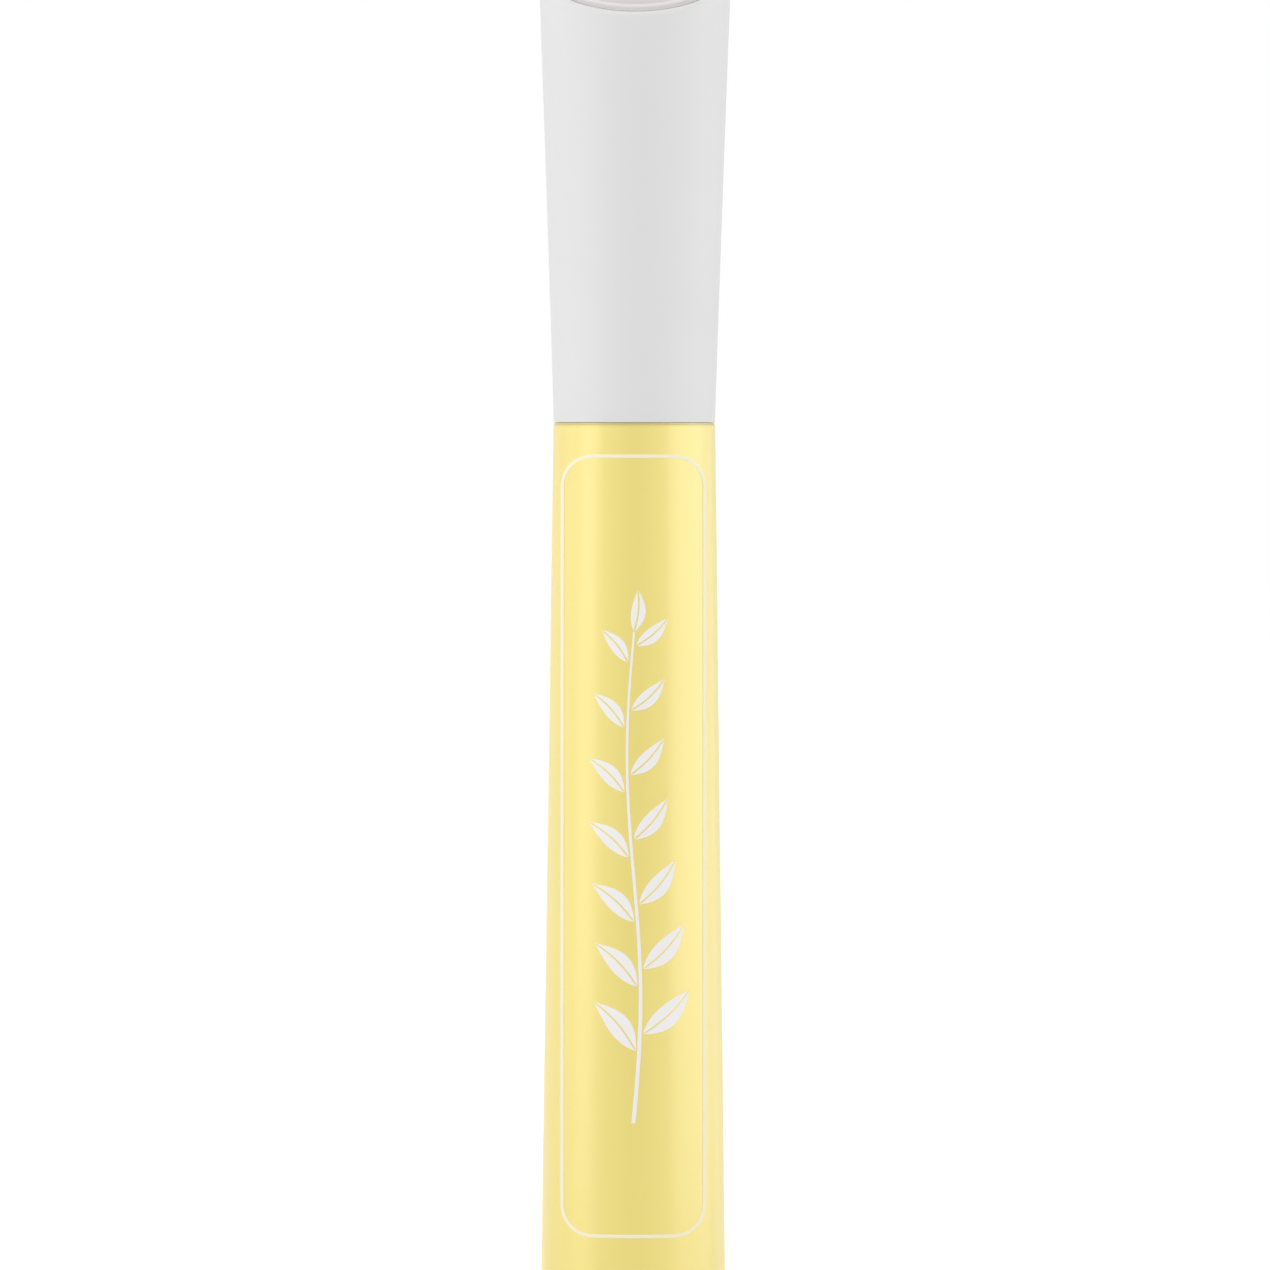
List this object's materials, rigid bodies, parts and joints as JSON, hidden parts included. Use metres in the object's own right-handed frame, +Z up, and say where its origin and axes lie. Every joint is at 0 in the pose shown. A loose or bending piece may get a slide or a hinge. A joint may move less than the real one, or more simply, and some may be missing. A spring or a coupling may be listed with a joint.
{
  "type": "cuticle remover pen",
  "caption": "Twist-up cosmetic pen: flared yellow barrel, slant-topped grey-white pull-off cap, soft slanted tip and the screw and piston that feed it.",
  "frame": {"origin": "centre of the flat base on which the pen stands", "axes": "+Z up the pen's axis to the cap; the low edge of the cap's slanted end faces -Y, which is the side with the print"},
  "size_m": [0.0168, 0.0167, 0.1248],
  "materials": {
    "barrel_plastic": "smooth moulded yellow plastic, satin gloss",
    "collar_plastic": "deeper yellow moulded plastic",
    "cap_plastic": "smooth pale grey-white moulded plastic, satin gloss",
    "lid_plastic": "pale grey-white plastic with a faint warm cast",
    "cartridge_plastic": "milky natural polypropylene",
    "holder_plastic": "white moulded plastic",
    "tip_rubber": "soft matte pink elastomer",
    "seal_rubber": "off-white elastomer",
    "ring_rubber": "black nitrile ring",
    "works_plastic": "grey acetal",
    "piston_plastic": "soft pale blue polyethylene",
    "spring_steel": "bright spring steel wire",
    "print_ink": "thin off-white screen-printed ink"
  },
  "bodies": {
    "barrel": {"barrel_shell": "barrel_plastic", "front_collar": "collar_plastic", "collar_o_ring": "ring_rubber", "chamber_tube": "cartridge_plastic", "neck_gasket": "seal_rubber", "tip_holder": "holder_plastic", "feed_tube": "cartridge_plastic", "applicator_tip": "tip_rubber", "thread_nut": "works_plastic", "rear_bushing": "works_plastic", "ratchet_ring": "holder_plastic"},
    "knob": {"twist_knob": "barrel_plastic", "knob_end_plug": "barrel_plastic", "drive_sleeve": "holder_plastic", "pawl_ring": "works_plastic", "knob_o_ring": "ring_rubber", "retaining_ring": "spring_steel"},
    "screw": {"screw_rod": "holder_plastic"},
    "piston": {"piston": "piston_plastic"},
    "cap": {"cap_shell": "cap_plastic", "cap_end_plug": "lid_plastic", "cap_liner": "cartridge_plastic", "cap_seal_ring": "seal_rubber"}
  },
  "joints": [
    {"name": "knob_twist", "type": "hinge", "parent": "barrel", "child": "knob", "pos_m": [0, 0, 0], "axis": [0, 0, 1], "range_deg": [0, 3240]},
    {"name": "screw_climb", "type": "slide", "parent": "knob", "child": "screw", "axis": [0, 0, 1], "range_m": [0, 0.02702]},
    {"name": "piston_feed", "type": "slide", "parent": "barrel", "child": "piston", "axis": [0, 0, 1], "range_m": [0, 0.02702]},
    {"name": "cap_pull", "type": "slide", "parent": "barrel", "child": "cap", "axis": [0, 0, 1], "range_m": [0, 0.03]}
  ],
  "couplings": [
    {"joint": "screw_climb", "follows": "knob_twist", "m_per_rad": 0.00047746},
    {"joint": "piston_feed", "follows": "knob_twist", "m_per_rad": 0.00047746}
  ]
}
